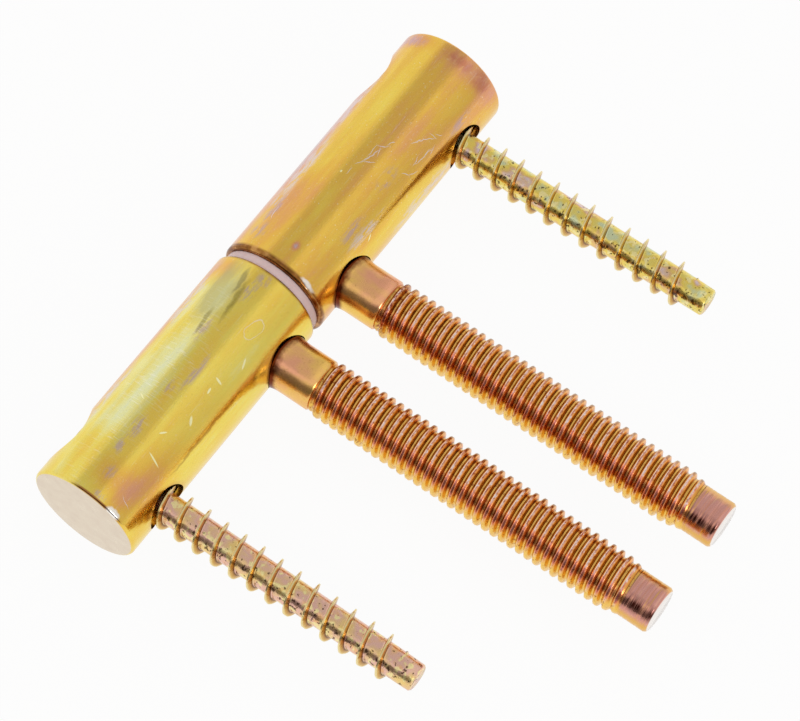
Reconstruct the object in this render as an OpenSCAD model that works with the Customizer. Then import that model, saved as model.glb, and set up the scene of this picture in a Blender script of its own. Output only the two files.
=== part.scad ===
// Screw-in hinge: two barrels that turn on one pin, each with a threaded stud and a wood screw that locks it.
// Units are millimetres. The hinge lies flat: studs along +X, hinge axis along +Y, up is +Z.
// The origin is under the middle of the whole part, on the surface that the barrels lie on.

/* [Barrels] */
// Outside diameter of both barrels
barrel_d = 16; // [14:0.5:22]
// Length of the lower barrel
lower_barrel_len = 39.5; // [34:0.5:60]
// Length of the upper barrel
upper_barrel_len = 41.5; // [36:0.5:60]
// Rounding of the barrel ends
barrel_edge_r = 0.5; // [0.3:0.1:1.2]

/* [Hinge pin] */
// Diameter of the pin
pin_d = 7; // [5:0.5:7.5]
// Metal left between the end of a pin bore and the screw hole past it
pin_end_web = 3.6; // [2:0.1:8]
// Chamfer on both pin ends
pin_chamfer = 0.7; // [0.3:0.1:1.2]
// Radial clearance of the pin in the upper barrel
pin_clearance = 0.05; // [0.02:0.01:0.1]
// Free depth of each blind bore past the pin
bore_end_gap = 1; // [0.5:0.1:1.5]
// Full angle of the drill point at the end of a blind bore
drill_angle = 118; // [90:1:140]

/* [Bearing washer] */
// Thickness of the washer
washer_t = 1.4; // [0.8:0.1:3]
// How far the washer stays inside the barrel outline
washer_inset = 0.6; // [0.1:0.1:1.5]
// Radial clearance of the washer on the pin
washer_clearance = 0.2; // [0.1:0.05:0.5]

/* [Studs] */
// Distance of the lower stud's axis from the joint face of its barrel
lower_stud_from_joint = 6.2; // [5.4:0.1:6.8]
// Distance of the upper stud's axis from the joint face of its barrel
upper_stud_from_joint = 7.2; // [5.4:0.1:8.4]
// Thread diameter over the crests
stud_d = 8; // [7.6:0.1:9]
// Pitch of the stud thread
stud_pitch = 1.35; // [1:0.05:1.75]
// Diameter of the plain neck
stud_neck_d = 7.5; // [7:0.1:8]
// Length of neck outside the barrel
stud_neck_len = 5.9; // [3:0.1:12]
// Length of the threaded stretch
stud_thread_len = 49.3; // [20:0.1:80]
// Diameter of the plain point
stud_point_d = 6.7; // [6.3:0.1:7.2]
// Length of the plain point
stud_point_len = 4.2; // [2:0.1:8]
// Chamfer on the rim of the plain point
stud_point_chamfer = 0.4; // [0.2:0.1:0.8]
// Wall left between the stud's seat and the pin bore
stud_seat_web = 0.7; // [0.4:0.1:1.2]
// Width of the groove round the neck where it enters the barrel
stud_groove_w = 0.35; // [0.2:0.05:0.6]
// Depth of that groove, from the top of the barrel
stud_groove_depth = 1.9; // [1.5:0.1:2.4]
// Height of the flare at the foot of the neck
stud_flare_len = 1.6; // [0.8:0.1:2.4]
// How far the flare starts below the top of the barrel
stud_flare_sink = 0.4; // [0.1:0.1:0.8]
// Radial clearance of the flare in the groove
stud_flare_clearance = 0.05; // [0.02:0.01:0.15]
// Turns over which the thread runs out to the point
stud_run_out = 2; // [0.5:0.5:4]

/* [Lock screws] */
// Distance of the lower screw's axis from the free end of its barrel
lower_screw_from_end = 7.3; // [6.8:0.1:10]
// Distance of the upper screw's axis from the free end of its barrel
upper_screw_from_end = 8.3; // [6.8:0.1:11]
// Thread diameter over the crests
screw_d = 6; // [5:0.1:6.4]
// Diameter of the core under the thread
screw_core_d = 4; // [3:0.1:4.4]
// Pitch of the screw thread
screw_pitch = 2.9; // [2:0.05:3.6]
// Length from the top of the head to the tip
screw_len = 54; // [40:0.5:90]
// Length of the plain tip
screw_tip_len = 2.7; // [1.5:0.1:5]
// Length of plain shank under the head
screw_shank_len = 6; // [4.5:0.1:9]
// Diameter of the plain shank
screw_shank_d = 4.4; // [4.4:0.1:5]
// Diameter of the countersunk head
screw_head_d = 10; // [8.5:0.1:10.2]
// Height of the straight rim of the head
screw_head_rim = 0.5; // [0.3:0.1:1]
// Depth of the head below the top of the barrel
screw_head_sink = 1.8; // [1.8:0.1:2.6]
// Radial clearance of the thread in its cross hole
screw_hole_clearance = 0.45; // [0.2:0.05:0.6]
// Radial clearance round the head
screw_head_clearance = 0.25; // [0.1:0.05:0.4]
// Span of the cross recess in the head
recess_span = 5.4; // [4:0.1:6]
// Width of the recess slots
recess_w = 1.4; // [1:0.1:1.8]
// Depth of the recess
recess_depth = 2.3; // [1.5:0.1:2.4]

/* [Hidden] */
$fn = 64;
eps = 0.01;

// Colours of the finishes, for the preview
zinc_yellow = [0.80, 0.64, 0.25];
zinc_copper = [0.76, 0.53, 0.33];
zinc_olive = [0.70, 0.60, 0.36];
steel_grey = [0.62, 0.62, 0.62];
nylon_pale = [0.84, 0.78, 0.78];

// The hinge axis and the faces that cross it
barrel_r = barrel_d / 2;
stud_reach = barrel_r + stud_neck_len + stud_thread_len + stud_point_len;
axis_x = (barrel_r - stud_reach) / 2;
axis_z = barrel_r;
hinge_len = lower_barrel_len + washer_t + upper_barrel_len;
lower_end_y = -hinge_len / 2;
lower_face_y = lower_end_y + lower_barrel_len;
upper_face_y = lower_face_y + washer_t;

// The legs, as distances from the joint face of their barrel
lower_screw_from_joint = lower_barrel_len - lower_screw_from_end;
upper_screw_from_joint = upper_barrel_len - upper_screw_from_end;
stud_seat_x = pin_d / 2 + pin_clearance + stud_seat_web;
stud_groove_x = barrel_r - stud_groove_depth;
stud_groove_d = stud_neck_d + 2 * stud_groove_w;
stud_flare_d = stud_groove_d - 2 * stud_flare_clearance;
screw_head_x = screw_head_sink - barrel_r;
screw_hole_d = screw_d + 2 * screw_hole_clearance;
screw_head_mouth_d = screw_head_d + 2 * screw_head_clearance;

// The pin and its bores, which stop short of the screw holes
pin_bore_d = pin_d + 2 * pin_clearance;
drill_point = function(d) d / 2 / tan(drill_angle / 2);
past_pin = bore_end_gap + pin_end_web + screw_hole_d / 2;
pin_press_len = lower_screw_from_joint - past_pin - drill_point(pin_d);
pin_run_len = upper_screw_from_joint - past_pin - drill_point(pin_bore_d);

// Thread forms: shares of one pitch for the root, each flank and the crest, the ridge's height, the facets
// in a turn, the plain stretch kept at both ends, the turns over which a ridge rises out of the root, and the
// overlap with the pieces next to the thread
stud_form = [0.12, 0.28, 0.32];
stud_ridge_share = 0.5;
stud_root_d = stud_d - 2 * stud_ridge_share * stud_pitch;
stud_sides = 14;
screw_form = [0.76, 0.09, 0.06];
screw_sides = 16;
thread_spare = 0.2;
thread_run_in = 0.5;
thread_lap = 0.3;

// A screw thread along +Z, from z = 0 to z = len, as one closed surface. Its points follow the helix:
// column k is the angle, row j is the place across the thread form, and the last row of a turn is the
// first row of the turn above it. The ridge rises out of the root and sinks back into it over some turns.
module thread(root_d, crest_d, pitch, len, form, sides, run_out) {
    rows = 4;
    turns = floor(len / pitch - thread_spare) - 1;
    last = sides * turns;
    lead = (len - pitch * (turns + 1)) / 2;
    root_r = root_d / 2;
    ridge = (crest_d - root_d) / 2;
    share = [0, form[0], form[0] + form[1], form[0] + form[1] + form[2]];
    height = [0, 0, ridge, ridge];
    rise = function(k) min(1, k / (sides * thread_run_in), (last - k) / (sides * run_out));
    spot = function(k, j, r) [r * cos(360 * k / sides), r * sin(360 * k / sides),
                              lead + pitch * (k / sides + share[j])];
    ring = function(z) [for (i = [0 : sides - 1])
                        [root_r * cos(360 * i / sides), root_r * sin(360 * i / sides), z]];
    points = concat(
        [for (k = [0 : last + sides]) spot(k, 0, root_r)],
        [for (j = [1 : rows - 1]) for (k = [0 : last]) spot(k, j, root_r + height[j] * rise(k))],
        ring(0),
        ring(len));
    base = last + sides + 1 + (rows - 1) * (last + 1);
    at = function(k, j) j == rows ? k + sides : j == 0 ? k : last + sides + 1 + (j - 1) * (last + 1) + k;
    low = function(i) base + i % sides;
    high = function(i) base + sides + i % sides;
    walls = [for (k = [0 : last - 1]) for (j = [0 : rows - 1])
             each [[at(k, j), at(k, j + 1), at(k + 1, j + 1)], [at(k, j), at(k + 1, j + 1), at(k + 1, j)]]];
    below = [for (k = [0 : sides - 2])
             each [[low(k), at(k, 0), at(k + 1, 0)], [low(k), at(k + 1, 0), low(k + 1)]]];
    start_pivot = at(sides - 1, 0);
    start = concat(
        [for (j = [rows : -1 : 1]) [start_pivot, at(0, j), at(0, j - 1)]],
        [[start_pivot, at(0, 0), low(0)], [start_pivot, low(0), low(sides - 1)]]);
    above = [for (k = [1 : sides - 1])
             each [[at(last + k, 0), high(k), high(k + 1)],
                   [at(last + k, 0), high(k + 1), at(last + k + 1, 0)]]];
    end_pivot = at(last + 1, 0);
    end = concat(
        [for (j = [0 : rows - 1]) [end_pivot, at(last, j), at(last, j + 1)]],
        [[end_pivot, at(last, rows), high(0)], [end_pivot, high(0), high(1)]]);
    caps = [[for (i = [0 : sides - 1]) low(i)], [for (i = [sides - 1 : -1 : 0]) high(i)]];
    polyhedron(points, concat(walls, below, start, above, end, caps), convexity = 10);
}

// A round bar along +Z with rounded rims
module rounded_bar(d, len, r) {
    rotate_extrude()
        union() {
            square([d / 2 - r, len]);
            translate([0, r])
                square([d / 2, len - 2 * r]);
            for (y = [r, len - r])
                translate([d / 2 - r, y])
                    circle(r);
        }
}

// A round solid about the Z axis, turned from its profile of [radius, height] points
module turned(profile) {
    rotate_extrude()
        polygon(profile);
}

// A round bar along +Z with a chamfer of its own on each rim
module chamfered_bar(d, len, low_chamfer, high_chamfer) {
    r = d / 2;
    turned(concat(
        low_chamfer > 0 ? [[0, 0], [r - low_chamfer, 0], [r, low_chamfer]] : [[0, 0], [r, 0]],
        [[r, len - high_chamfer], [r - high_chamfer, len], [0, len]]));
}

// A blind bore into a joint face at z = 0, down along -Z, with its drill point
module blind_bore(d, depth) {
    turned([[0, -depth - drill_point(d)], [d / 2, -depth], [d / 2, eps], [0, eps]]);
}

// The stud's seat and the groove at its mouth, along +X from the hinge axis
module stud_hole() {
    rotate([0, 90, 0]) {
        translate([0, 0, stud_seat_x])
            cylinder(d = stud_neck_d, h = barrel_d);
        translate([0, 0, stud_groove_x])
            cylinder(d = stud_groove_d, h = barrel_d);
    }
}

// The lock screw's cross hole along +X, with the sunk seat of its head on the -X side
module screw_hole() {
    mouth_r = screw_head_mouth_d / 2;
    head_r = screw_head_d / 2;
    hole_r = screw_hole_d / 2;
    seat_x = screw_head_x + screw_head_rim;
    rotate([0, 90, 0])
        turned([[0, -barrel_d], [mouth_r, -barrel_d], [mouth_r, seat_x], [head_r, seat_x],
                [hole_r, seat_x + head_r - hole_r], [hole_r, barrel_d], [0, barrel_d]]);
}

// One barrel along -Z from its joint face at z = 0, with the bore for the pin and the holes of its legs
module barrel(len, bore_d, bore_depth, stud_at, screw_at) {
    difference() {
        translate([0, 0, -len])
            rounded_bar(barrel_d, len, barrel_edge_r);
        blind_bore(bore_d, bore_depth + bore_end_gap);
        translate([0, 0, -stud_at])
            stud_hole();
        translate([0, 0, -screw_at])
            screw_hole();
    }
}

// One stud along +X from the hinge axis: neck in its seat with a flared foot, rolled thread, plain point
module stud() {
    neck_end = barrel_r + stud_neck_len;
    point_start = neck_end + stud_thread_len;
    rotate([0, 90, 0]) {
        translate([0, 0, stud_seat_x])
            cylinder(d = stud_neck_d, h = neck_end - stud_seat_x);
        translate([0, 0, barrel_r - stud_flare_sink])
            cylinder(d1 = stud_flare_d, d2 = stud_neck_d, h = stud_flare_len);
        translate([0, 0, neck_end - thread_lap])
            thread(stud_root_d, stud_d, stud_pitch, stud_thread_len + 2 * thread_lap,
                   stud_form, stud_sides, stud_run_out);
        translate([0, 0, point_start])
            chamfered_bar(stud_point_d, stud_point_len, 0, stud_point_chamfer);
    }
}

// The cross recess, sunk from z = 0 along +Z
module cross_recess() {
    intersection() {
        union() {
            for (a = [0, 90])
                rotate([0, 0, a])
                    translate([-recess_span / 2, -recess_w / 2, -eps])
                        cube([recess_span, recess_w, recess_depth]);
        }
        translate([0, 0, -eps])
            cylinder(d1 = recess_span, d2 = recess_w, h = recess_depth);
    }
}

// One lock screw along +X: countersunk head in its seat, shank, coarse thread, plain tip
module lock_screw() {
    rod_d = screw_core_d * cos(180 / screw_sides);
    head_r = screw_head_d / 2;
    shank_r = screw_shank_d / 2;
    thread_len = screw_len - screw_shank_len - screw_tip_len;
    rotate([0, 90, 0])
        translate([0, 0, screw_head_x])
            difference() {
                union() {
                    turned([[0, 0], [head_r, 0], [head_r, screw_head_rim],
                            [shank_r, screw_head_rim + head_r - shank_r], [shank_r, screw_shank_len],
                            [0, screw_shank_len]]);
                    translate([0, 0, screw_shank_len - thread_lap])
                        thread(screw_core_d, screw_d, screw_pitch, thread_len + thread_lap,
                               screw_form, screw_sides, thread_run_in);
                    translate([0, 0, screw_len - screw_tip_len - thread_lap])
                        cylinder(d = rod_d, h = screw_tip_len + thread_lap);
                }
                cross_recess();
            }
}

// Places a piece built round the Z axis on the hinge axis, for the lower half and for the upper half
module lower_half() {
    translate([axis_x, lower_face_y, axis_z])
        rotate([-90, 0, 0])
            children();
}

module upper_half() {
    translate([axis_x, upper_face_y, axis_z])
        mirror([0, 1, 0])
            rotate([-90, 0, 0])
                children();
}

module lower_barrel() {
    color(zinc_yellow)
        lower_half()
            barrel(lower_barrel_len, pin_d, pin_press_len, lower_stud_from_joint, lower_screw_from_joint);
}

module upper_barrel() {
    color(zinc_yellow)
        upper_half()
            barrel(upper_barrel_len, pin_bore_d, pin_run_len,
                   upper_stud_from_joint, upper_screw_from_joint);
}

module hinge_pin() {
    color(steel_grey)
        lower_half()
            translate([0, 0, -pin_press_len])
                chamfered_bar(pin_d, pin_press_len + washer_t + pin_run_len, pin_chamfer, pin_chamfer);
}

module bearing_washer() {
    color(nylon_pale)
        lower_half()
            difference() {
                cylinder(d = barrel_d - 2 * washer_inset, h = washer_t);
                translate([0, 0, -eps])
                    cylinder(d = pin_d + 2 * washer_clearance, h = washer_t + 2 * eps);
            }
}

module lower_stud() {
    color(zinc_copper)
        translate([axis_x, lower_face_y - lower_stud_from_joint, axis_z])
            stud();
}

module upper_stud() {
    color(zinc_copper)
        translate([axis_x, upper_face_y + upper_stud_from_joint, axis_z])
            stud();
}

module lower_lock_screw() {
    color(zinc_olive)
        translate([axis_x, lower_face_y - lower_screw_from_joint, axis_z])
            lock_screw();
}

module upper_lock_screw() {
    color(zinc_olive)
        translate([axis_x, upper_face_y + upper_screw_from_joint, axis_z])
            lock_screw();
}

lower_barrel();
upper_barrel();
hinge_pin();
bearing_washer();
lower_stud();
upper_stud();
lower_lock_screw();
upper_lock_screw();
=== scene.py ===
# %% [markdown]
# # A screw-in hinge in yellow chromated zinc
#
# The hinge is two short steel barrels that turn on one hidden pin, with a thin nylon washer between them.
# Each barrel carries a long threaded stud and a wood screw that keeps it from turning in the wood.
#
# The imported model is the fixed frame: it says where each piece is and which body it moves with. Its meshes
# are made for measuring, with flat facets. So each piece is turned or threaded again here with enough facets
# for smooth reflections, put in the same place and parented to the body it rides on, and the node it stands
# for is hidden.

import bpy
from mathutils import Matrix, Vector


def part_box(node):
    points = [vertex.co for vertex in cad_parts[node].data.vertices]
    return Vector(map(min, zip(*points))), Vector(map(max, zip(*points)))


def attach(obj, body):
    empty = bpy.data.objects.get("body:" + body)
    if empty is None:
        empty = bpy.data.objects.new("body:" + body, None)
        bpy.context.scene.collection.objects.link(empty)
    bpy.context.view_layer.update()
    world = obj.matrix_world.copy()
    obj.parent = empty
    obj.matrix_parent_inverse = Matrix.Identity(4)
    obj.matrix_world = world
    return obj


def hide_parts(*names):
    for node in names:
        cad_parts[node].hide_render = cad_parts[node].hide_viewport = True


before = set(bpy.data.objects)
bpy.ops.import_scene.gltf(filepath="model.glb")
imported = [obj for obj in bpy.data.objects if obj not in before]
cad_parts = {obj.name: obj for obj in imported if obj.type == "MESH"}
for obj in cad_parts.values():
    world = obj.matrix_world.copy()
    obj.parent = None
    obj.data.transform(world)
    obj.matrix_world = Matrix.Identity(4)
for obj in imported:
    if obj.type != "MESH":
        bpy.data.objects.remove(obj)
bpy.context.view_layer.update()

from math import cos, pi, sin, tan, radians

import bmesh
import bpy
from mathutils import Matrix, Vector

MM = 0.001
print("nodes:", sorted(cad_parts))

# %% [markdown]
# ## Where the pieces are
#
# Sizes that the frame knows are read from its boxes, so that a new pack moves the pieces along. All numbers
# below are millimetres. The hinge lies flat: +X is the way the legs point, +Y is the hinge axis from the
# lower barrel to the upper one, and +Z is up from the table.

# %% Read the main sizes


def box_mm(node):
    """Lowest and highest corner of a node, in millimetres."""
    low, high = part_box(node)
    return low / MM, high / MM


barrel_low, barrel_high = box_mm("lower_barrel")
AXIS_X = (barrel_low.x + barrel_high.x) / 2
AXIS_Z = (barrel_low.z + barrel_high.z) / 2
BARREL_R = (barrel_high.x - barrel_low.x) / 2
LOWER_END, LOWER_FACE = barrel_low.y, barrel_high.y
UPPER_FACE, UPPER_END = (corner.y for corner in box_mm("upper_barrel"))
leg_y = {leg: sum(box_mm(leg), Vector()).y / 2
         for leg in ("lower_stud", "upper_stud", "lower_lock_screw", "upper_lock_screw")}
print(f"hinge axis at x {AXIS_X:.2f}, z {AXIS_Z:.2f}; barrel radius {BARREL_R:.2f}")
print("legs at y", {leg: round(y, 2) for leg, y in leg_y.items()})

# %% [markdown]
# ## The camera
#
# The photograph was taken from high up in front of the free end of the lower barrel, with a long lens that
# keeps the legs nearly parallel. The place, the three directions and the lens were worked out from the
# outlines of the barrels and the four legs. A camera looks along its own -Z, so the columns of its matrix are
# its right, up and backward directions.

# %% Set the camera
camera_data = bpy.data.cameras.new("photo_camera")
camera_data.lens = 168.05
camera_data.clip_start, camera_data.clip_end = 0.01, 20
camera = bpy.data.objects.new("photo_camera", camera_data)
camera_right = Vector((0.811734, 0.582764, 0.038403))
camera_up = Vector((-0.536426, 0.717956, 0.443606))
camera_back = Vector((0.230946, -0.380690, 0.895399))
camera_place = Vector((103.977, -186.461, 449.656)) * MM
camera.matrix_world = (Matrix.Translation(camera_place)
                       @ Matrix((camera_right, camera_up, camera_back)).transposed().to_4x4())
bpy.context.scene.collection.objects.link(camera)
bpy.context.scene.camera = camera
bpy.context.scene.view_settings.view_transform = "Standard"
print("camera", round(camera_place.length, 3), "m from the middle of the table")

# %% [markdown]
# ## Helpers for nodes and colours
#
# Materials, the studio and the thread are all node trees, so one small function adds any node: its settings
# are the node's own properties, its sockets are either plain values or other nodes to link, and a colour ramp
# takes its stops. Colours are written as sRGB hex values, as a paint program shows them, and turned to the
# linear values that shaders work in. Pattern sizes are written in millimetres and turned to a texture scale.
# A finish is built up as a painter does it: in coats, each with a mask that says where it covers the others.

# %% Node, colour and scale helpers


def add(tree, kind, sockets=None, stops=(), **settings):
    """Adds one node; a socket's value may be a number, another node (its first output) or an output."""
    node = tree.nodes.new(kind)
    for key, value in settings.items():
        setattr(node, key, value)
    for key, value in (sockets or {}).items():
        if isinstance(value, bpy.types.Node):
            value = next(output for output in value.outputs if output.enabled)
        if isinstance(value, bpy.types.NodeSocket):
            tree.links.new(value, node.inputs[key])
        else:
            node.inputs[key].default_value = value
    for i, (position, code) in enumerate(stops):
        stop = node.color_ramp.elements[i] if i < 2 else node.color_ramp.elements.new(position)
        stop.position, stop.color = position, linear(code)
    return node


def linear(code):
    """Linear RGBA of an sRGB hex colour."""
    parts = [int(code[i:i + 2], 16) / 255 for i in (1, 3, 5)]
    return [p / 12.92 if p <= 0.04045 else ((p + 0.055) / 1.055) ** 2.4 for p in parts] + [1.0]


def per(size_mm):
    """Texture scale at which a pattern repeats about every size_mm."""
    return 1 / (size_mm * MM)


def paint(tree, colour, coats):
    """Lays coats over a colour, one after the other; each is a mask and a hex colour or a node."""
    for mask, shade in coats:
        below, above = (linear(part) if isinstance(part, str) else part for part in (colour, shade))
        colour = add(tree, MIX, {FACTOR: mask, FIRST: below, SECOND: above}, data_type="RGBA")
    return colour


MATH, RANGE, MIX, NOISE = "ShaderNodeMath", "ShaderNodeMapRange", "ShaderNodeMix", "ShaderNodeTexNoise"
# sockets of a colour mix
FACTOR, FIRST, SECOND = 0, 6, 7
print("gold in linear light:", [round(value, 3) for value in linear("#F0CB5C")])

# %% [markdown]
# ## The table and the light
#
# The hinge was photographed on a white table in a white light tent, so nearly all that the metal mirrors is
# white: the table from below, and the cloth of the tent from above. A table like that is paper with its own
# shadow, but the picture shows it nearly pure white. So most of it is given to camera, glossy and transmission
# rays as a plain white, and a share of ordinary diffuse paper stays in it, which keeps the soft shadow.

# %% Make the table
TABLE_HALF = 3.0
TABLE_GLOW = 0.94
paper = bpy.data.materials.new("white_paper_table")
paper.use_nodes = True
tree = paper.node_tree
tree.nodes.clear()
rays = add(tree, "ShaderNodeLightPath").outputs
seen = rays["Is Camera Ray"]
for kind in ("Is Glossy Ray", "Is Transmission Ray"):
    seen = add(tree, MATH, {0: seen, 1: rays[kind]}, operation="MAXIMUM")
glow = add(tree, MATH, {0: seen, 1: TABLE_GLOW}, operation="MULTIPLY")
grain = add(tree, NOISE, {"Vector": add(tree, "ShaderNodeTexCoord").outputs["Object"], "Scale": per(40),
                          "Detail": 4.0})
tint = paint(tree, "#F4F1EE", [(grain.outputs["Fac"], "#F8F6F5")])
matte = add(tree, "ShaderNodeBsdfDiffuse", {"Color": tint})
white = add(tree, "ShaderNodeEmission", {"Color": linear("#FFFFFF"), "Strength": 1.0})
cover = add(tree, "ShaderNodeMixShader", {0: glow, 1: matte, 2: white})
add(tree, "ShaderNodeOutputMaterial", {"Surface": cover})

sheet = bpy.data.meshes.new("table")
corners = ((-1, -1), (1, -1), (1, 1), (-1, 1))
sheet.from_pydata([(x * TABLE_HALF, y * TABLE_HALF, 0.0) for x, y in corners], [], [(0, 1, 2, 3)])
sheet.materials.append(paper)
table = bpy.data.objects.new("table", sheet)
bpy.context.scene.collection.objects.link(table)
print("table", 2 * TABLE_HALF, "m square")

# %% [markdown]
# Polished metal shows its surroundings, so the bands along the barrels are a picture of the tent. Its left
# wall and the strip right of the roof are bright, the roof is greyer, and the right wall falls off towards the
# table. The front, where the camera stands, is open to a dimmer room: it draws dark lines on the rims and in the
# threads, which the finishes deepen with painted dark reflections and shade. One ramp over the angle from wall
# to wall and one over the height of the front give all this with soft edges. A small lamp to the front right
# adds light from there, and the white glints on the rims are painted into the finish.

# %% Light the tent
sky = bpy.data.worlds.new("light_tent")
bpy.context.scene.world = sky
sky.use_nodes = True
tree = sky.node_tree
tree.nodes.clear()
way = add(tree, "ShaderNodeSeparateXYZ", {0: add(tree, "ShaderNodeTexCoord").outputs["Generated"]}).outputs
# degrees from straight up, from the left wall over the roof to the right wall, and how bright the cloth is
walls = [(-90, "#F2F1EF"), (-58, "#F4F3F0"), (-41, "#F1F0EE"), (-30, "#CFCFCF"), (10, "#D2D2D1"),
         (18, "#F3F2F0"), (42, "#E6E5E3"), (76, "#D8D7D5"), (90, "#E6E5E3")]
# the ways are directions of length 1, so their parts go from -1 to 1
lean = add(tree, MATH, {0: way["X"], 1: way["Z"]}, operation="ARCTAN2")
lean = add(tree, RANGE, {"Value": lean, "From Min": -pi / 2, "From Max": pi / 2})
arch = add(tree, "ShaderNodeValToRGB", {0: lean}, [((angle + 90) / 180, grey) for angle, grey in walls])
room = add(tree, "ShaderNodeValToRGB", {0: way["Z"]}, [
    (0.0, "#6C6662"), (0.4, "#706A66"), (0.57, "#86817D"), (0.66, "#E8E7E5"), (0.75, "#F8F7F5")])
front = add(tree, RANGE, {"Value": way["Y"], "From Min": -0.42, "From Max": -0.58},
            interpolation_type="SMOOTHSTEP")
# the front is open, but for the edge of the left wall
opening = add(tree, RANGE, {"Value": way["X"], "From Min": -0.6, "From Max": -0.4})
front = add(tree, MATH, {0: front, 1: opening}, operation="MULTIPLY")
tent = paint(tree, arch, [(front, room)])
cloth = add(tree, "ShaderNodeBackground", {"Color": tent, "Strength": 1.0})
add(tree, "ShaderNodeOutputWorld", {"Surface": cloth})

LAMP_SIZE, LAMP_DISTANCE, LAMP_BRIGHTNESS = 0.22, 0.9, 5.0
lamp = bpy.data.lights.new("glint_lamp", "AREA")
lamp.size = LAMP_SIZE
lamp.energy = LAMP_BRIGHTNESS * pi * LAMP_SIZE ** 2
glint = bpy.data.objects.new("glint_lamp", lamp)
toward = Vector((0.75, -0.45, 0.45)).normalized()
glint.matrix_world = (Matrix.Translation(toward * LAMP_DISTANCE)
                      @ toward.to_track_quat("Z", "Y").to_matrix().to_4x4())
bpy.context.scene.collection.objects.link(glint)
print("tent of", len(walls), "shades, lamp of", round(lamp.energy, 3), "W")

# %% [markdown]
# ## Yellow chromate on the barrels
#
# The barrels are bright drawn steel bar, zinc plated and dipped in a yellow chromate bath. The film is a
# fraction of a micrometre thick, and each thickness shows a colour of its own, as oil on water does: nearly
# white where it is thinnest, then straw, gold, tan, rose and at last lavender-grey.
#
# One could paint patches of each colour, but then neighbours clash. Here one number, the film's thickness,
# varies over the bar, and a ramp turns it to a colour, so that every rose spot has its tan and gold fringes.
# A metal's colour is its reflection, so the ramp goes into the base colour of a metallic shader. The patterns
# are stretched along the bar, because it was drawn that way.

# %% Start a finish


def new_finish(name):
    """An empty material with a metal shader and the object's own coordinates."""
    material = bpy.data.materials.new(name)
    material.use_nodes = True
    nodes = material.node_tree
    nodes.nodes.clear()
    shader = add(nodes, "ShaderNodeBsdfPrincipled", {"Metallic": 1.0})
    add(nodes, "ShaderNodeOutputMaterial", {"Surface": shader})
    return material, nodes, shader, add(nodes, "ShaderNodeTexCoord").outputs["Object"]


def clouds(tree, spot, table):
    """Noises by name; each has its sizes along X, Y and Z in mm, its detail and its seed."""
    made = {}
    for name, (*sizes, detail, seed) in table.items():
        stretched = add(tree, "ShaderNodeMapping", {0: spot, "Scale": [per(size) for size in sizes]})
        made[name] = add(tree, NOISE, {"Vector": stretched, "W": seed, "Scale": 1.0, "Detail": detail,
                                       "Roughness": 0.6}, noise_dimensions="4D").outputs["Fac"]
    return made


chromate_bar, tree, shader, spot = new_finish("yellow_chromate_on_drawn_bar")
axes = add(tree, "ShaderNodeSeparateXYZ", {0: spot}).outputs
cloud = clouds(tree, spot, {
    "drift": (6.0, 30.0, 6.0, 3.0, 1.0), "streak": (1.6, 36.0, 1.6, 3.0, 7.0),
    "mottle": (1.8, 6.0, 1.8, 5.0, 2.0), "ragged": (0.8, 2.0, 0.8, 6.0, 3.0),
    "drawn": (0.5, 18.0, 0.5, 3.0, 4.0), "peel": (0.45, 0.6, 0.45, 2.0, 5.0),
    "grain": (0.26, 0.4, 0.26, 2.0, 6.0), "hair": (0.16, 3.5, 0.16, 2.0, 8.0),
    "hatch": (2.0, 0.24, 2.0, 2.0, 9.0)})
print(chromate_bar.name, "has clouds", list(cloud))

# %% Vary the film over the bars
# how far a patch reaches into the bar at least, so that it covers the round surface
PATCH_DEPTH = 2.0


def patch_mask(tree, spot, y, lean, along, across, turn=0):
    """1 in the middle of an oval on a barrel, 0 from its edge on.

    Its place along the hinge and its half sizes are in mm, its lean from the top and its turn in degrees.
    """
    placed = Matrix.Rotation(radians(lean), 3, "Y") @ Matrix.Rotation(radians(turn), 3, "Z")
    centre = Vector((AXIS_X, y, AXIS_Z)) + placed @ Vector((0, 0, BARREL_R))
    half_sizes = Vector((across, along, max(across, PATCH_DEPTH)))
    local = add(tree, "ShaderNodeMapping", {0: spot, "Location": centre * MM, "Rotation": placed.to_euler(),
                                            "Scale": half_sizes * MM}, vector_type="TEXTURE")
    reach = add(tree, "ShaderNodeVectorMath", {0: local}, operation="LENGTH")
    return add(tree, RANGE, {"Value": reach, "From Min": 1.0, "From Max": 0.0},
               interpolation_type="SMOOTHSTEP")


def add_up(tree, total, terms):
    """Adds terms to a total; each is a pattern and its weight."""
    for pattern, weight in terms:
        total = add(tree, MATH, {0: pattern, 1: weight, 2: total}, operation="MULTIPLY_ADD")
    return total


# the upper barrel was dipped longer, so its film starts thicker
film = add(tree, RANGE, {"Value": axes["Y"], "From Min": LOWER_FACE * MM, "From Max": UPPER_FACE * MM,
                         "To Min": -0.30, "To Max": -0.10})
film = add_up(tree, film, [(cloud["drift"], 0.54), (cloud["streak"], 0.34), (cloud["mottle"], 0.32),
                           (cloud["grain"], 0.1)])
# place along the hinge, lean from the top, half sizes along and across, change of thickness
film_spots = [
    # the first spot thins the film to a pale band along the lower barrel: a painted highlight
    (-24, -17, 24, 3.2, -0.34), (-22, -43, 24, 4.0, -0.13), (-33, -34, 9, 4.5, -0.06),
    (-13, 32, 13, 5.0, -0.04), (-36, 46, 9, 6.5, 0.28), (-37.5, 14, 4.5, 5.0, 0.22), (-4, -43, 4, 4.0, 0.34),
    (9, -25, 8, 3.2, 0.2), (23, -27, 13, 4.0, -0.12), (3.4, 7.4, 1.1, 0.9, 0.34), (18, -1, 20, 3.4, -0.03),
    (39.8, 30, 3.2, 9.0, 0.2), (39.8, -46, 2.4, 5.5, 0.30), (27, 32, 8, 5.0, 0.12), (20, 74, 22, 4.5, -0.20),
    (31, -14, 9, 4.0, -0.08), (6, 66, 6, 4.0, -0.12), (-19, -63, 30, 2.6, 0.34), (22, -62, 30, 2.8, 0.36),
    (-35, -24, 6, 3.4, 0.16), (-8, -24, 6, 4.0, -0.06),
]
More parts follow.
